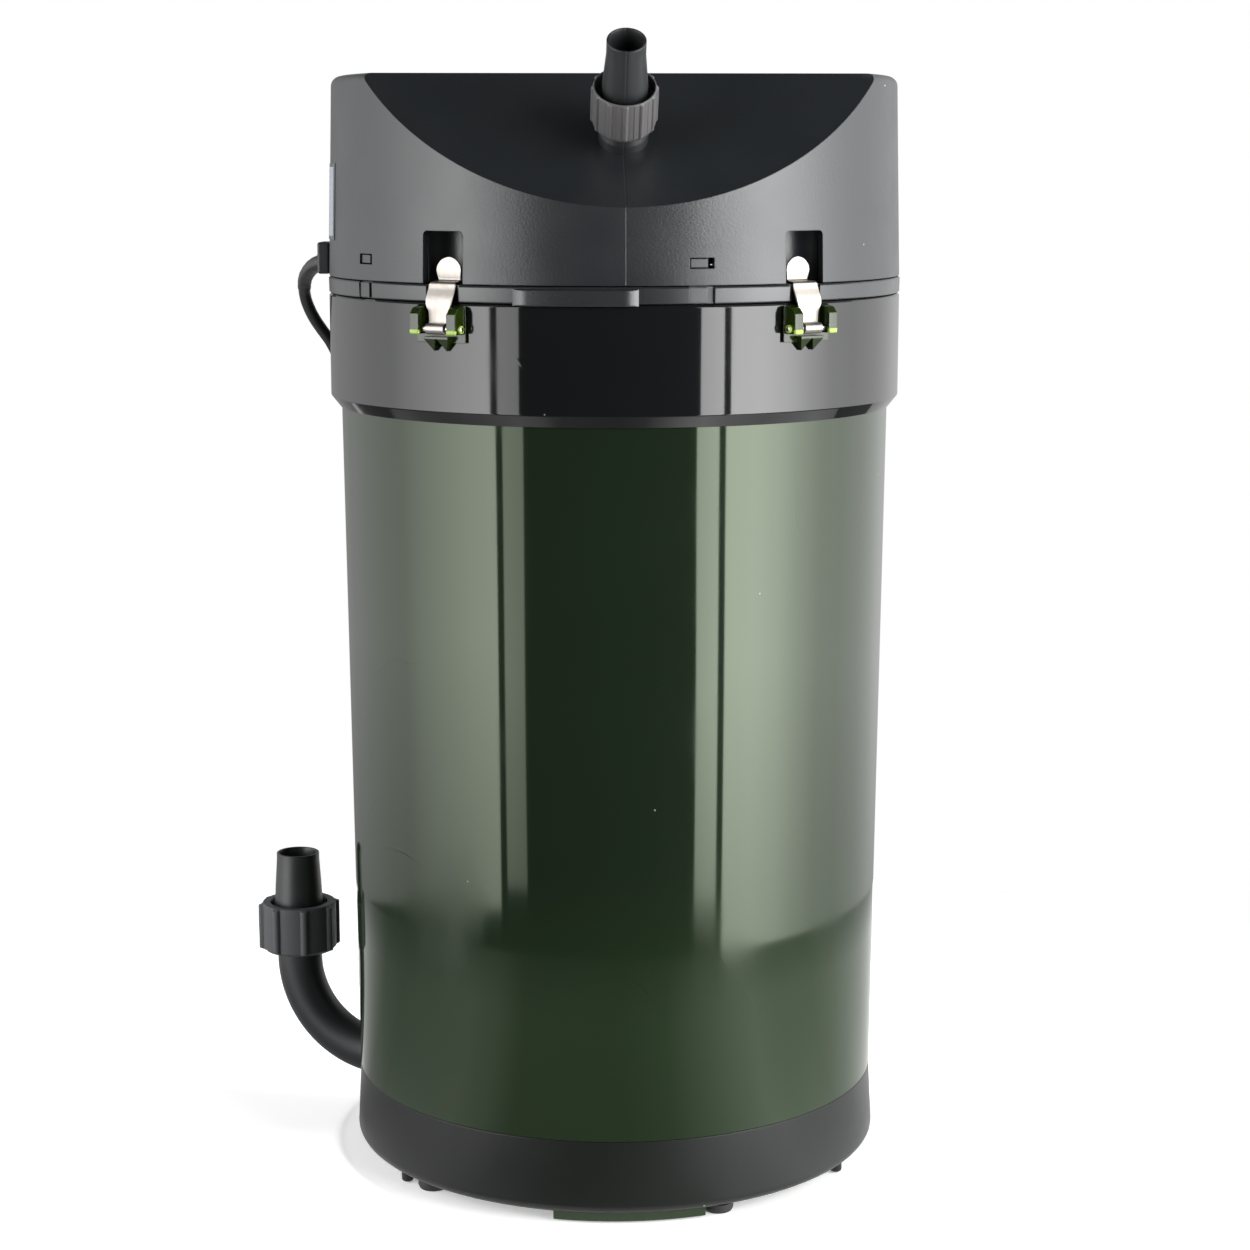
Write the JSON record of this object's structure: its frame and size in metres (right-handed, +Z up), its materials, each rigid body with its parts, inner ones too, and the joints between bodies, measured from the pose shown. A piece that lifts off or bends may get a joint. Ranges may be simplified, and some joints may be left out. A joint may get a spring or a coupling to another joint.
{
  "type": "canister filter",
  "caption": "Tall round aquarium canister filter with a sloped pump head held by spring clips, angled outlet, low swivel inlet elbow and mains cord.",
  "frame": {"origin": "on the tank's axis, in the plane of the feet that it stands on", "axes": "+Z up along the tank's axis, -Y towards the front that the sloped face and the outlet look to, +X to the right of someone facing the front"},
  "size_m": [0.2411, 0.2712, 0.4062],
  "materials": {
    "tank_green": "glossy dark green moulded plastic",
    "collar_black": "glossy black moulded plastic",
    "band_grey": "satin charcoal plastic",
    "foot_rubber": "soft black rubber",
    "lug_green": "translucent lime green plastic",
    "pin_steel": "drawn stainless wire",
    "clip_steel": "bright nickel plated spring steel",
    "seal_rubber": "soft black rubber",
    "elbow_black": "satin black plastic",
    "nozzle_black": "satin black plastic",
    "inlet_nut_grey": "satin dark grey plastic",
    "outlet_nut_grey": "satin warm grey plastic",
    "lattice_plastic": "matte dark plastic",
    "blue_foam": "coarse open foam",
    "bio_ceramic": "bed of sintered ceramic rings",
    "white_floss": "fine white floss pad",
    "head_grey": "fine textured slate plastic",
    "flange_grey": "satin slate plastic",
    "pump_plastic": "matte black plastic",
    "impeller_white": "natural white plastic",
    "magnet_ferrite": "coated ferrite",
    "shaft_ceramic": "polished ceramic",
    "bushing_rubber": "soft brown rubber",
    "core_steel": "stacked electrical steel",
    "coil_tape": "resin coated copper winding",
    "screw_steel": "zinc plated steel",
    "label_film": "blank printed film",
    "cord_black": "satin black flexible sheath",
    "grommet_black": "moulded black rubber",
    "tie_white": "white nylon strip",
    "plug_black": "moulded black plastic",
    "plug_brass": "plated brass"
  },
  "bodies": {
    "canister": {"tank": "tank_green", "tank_collar": "collar_black", "base_band": "band_grey", "rubber_feet": "foot_rubber", "clip_lugs": "lug_green", "clip_pins": "pin_steel", "inlet_port_seal": "seal_rubber", "lower_lattice": "lattice_plastic", "coarse_pad": "blue_foam", "bio_media": "bio_ceramic", "fine_pad": "white_floss", "upper_lattice": "lattice_plastic", "head_seal": "seal_rubber", "head_base": "flange_grey", "pump_cover": "pump_plastic", "rotor_shaft": "shaft_ceramic", "upper_bushing": "bushing_rubber", "lower_bushing": "bushing_rubber", "stator_core": "core_steel", "stator_coils": "coil_tape", "stator_screws": "screw_steel", "outlet_duct": "nozzle_black", "outlet_washer": "seal_rubber", "outlet_nozzle": "nozzle_black", "head_cover": "head_grey", "rating_label": "label_film", "cord_grommet": "grommet_black", "strain_relief": "grommet_black", "mains_cord": "cord_black", "cord_coil": "cord_black", "plug_lead": "cord_black", "cord_tie": "tie_white", "mains_plug": "plug_black", "plug_pins": "plug_brass"},
    "clip_front_left_body": {"clip_front_left": "clip_steel"},
    "clip_front_right_body": {"clip_front_right": "clip_steel"},
    "clip_rear_left_body": {"clip_rear_left": "clip_steel"},
    "clip_rear_right_body": {"clip_rear_right": "clip_steel"},
    "rotor": {"rotor_magnet": "magnet_ferrite", "impeller": "impeller_white"},
    "outlet_nut": {"outlet_union_nut": "outlet_nut_grey"},
    "inlet_arm": {"inlet_elbow": "elbow_black", "inlet_washer": "seal_rubber", "inlet_nozzle": "nozzle_black"},
    "inlet_nut": {"inlet_union_nut": "inlet_nut_grey"}
  },
  "joints": [
    {"name": "clip_front_left_swing", "type": "hinge", "parent": "canister", "child": "clip_front_left_body", "pos_m": [-0.06198, -0.08531, 0.3093], "axis": [0.809, -0.5878, 0], "range_deg": [0, 105]},
    {"name": "clip_front_right_swing", "type": "hinge", "parent": "canister", "child": "clip_front_right_body", "pos_m": [0.06198, -0.08531, 0.3093], "axis": [0.809, 0.5878, 0], "range_deg": [0, 105]},
    {"name": "clip_rear_left_swing", "type": "hinge", "parent": "canister", "child": "clip_rear_left_body", "pos_m": [-0.06198, 0.08531, 0.3093], "axis": [-0.809, -0.5878, 0], "range_deg": [0, 105]},
    {"name": "clip_rear_right_swing", "type": "hinge", "parent": "canister", "child": "clip_rear_right_body", "pos_m": [0.06198, 0.08531, 0.3093], "axis": [-0.809, 0.5878, 0], "range_deg": [0, 105]},
    {"name": "rotor_spin", "type": "hinge", "parent": "canister", "child": "rotor", "pos_m": [0, 0, 0.32], "axis": [0, 0, 1], "continuous": true},
    {"name": "outlet_nut_turn", "type": "hinge", "parent": "canister", "child": "outlet_nut", "pos_m": [0, -0.08433, 0.38195], "axis": [0, -0.6428, 0.766], "continuous": true},
    {"name": "inlet_arm_swivel", "type": "hinge", "parent": "canister", "child": "inlet_arm", "pos_m": [-0.08345, 0.03372, 0.0195], "axis": [-0.9272, 0.3746, 0], "range_deg": [-60, 60]},
    {"name": "inlet_nut_turn", "type": "hinge", "parent": "inlet_arm", "child": "inlet_nut", "pos_m": [-0.12239, 0.04945, 0.0685], "axis": [0, 0, 1], "continuous": true}
  ]
}
